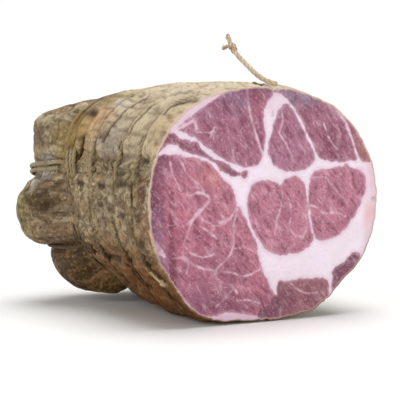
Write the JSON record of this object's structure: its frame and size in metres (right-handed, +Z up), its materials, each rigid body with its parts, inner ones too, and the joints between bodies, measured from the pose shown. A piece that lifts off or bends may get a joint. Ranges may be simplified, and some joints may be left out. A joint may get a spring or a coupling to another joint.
{
  "type": "coppa",
  "caption": "Half of a cured coppa in its natural casing, trussed with twine and cut across to show the marbled meat.",
  "frame": {"origin": "bottom centre of the box of the body and its tight twine, on the surface that it lies on", "axes": "+Z up, -Y out of the cut face, +Y towards the lobed end of the casing"},
  "size_m": [0.1506, 0.1326, 0.1351],
  "materials": {
    "casing": "matt, dry and wrinkled",
    "cut_meat": "moist, lean meat with seams of fat",
    "twine": "matt twisted fibre"
  },
  "bodies": {
    "root": {"cured_meat": "casing", "hoop_1": "twine", "hoop_2": "twine", "hoop_3": "twine", "band_1": "twine", "band_2": "twine", "band_3": "twine", "string_top": "twine", "string_upper_left": "twine", "string_lower_left": "twine", "string_bottom_left": "twine", "string_bottom_right": "twine", "string_right": "twine", "string_upper_right": "twine", "doubled_strand": "twine", "end_knot": "twine", "loose_end": "twine", "rim_end": "twine", "tail": "twine", "tail_knot": "twine"}
  },
  "joints": []
}
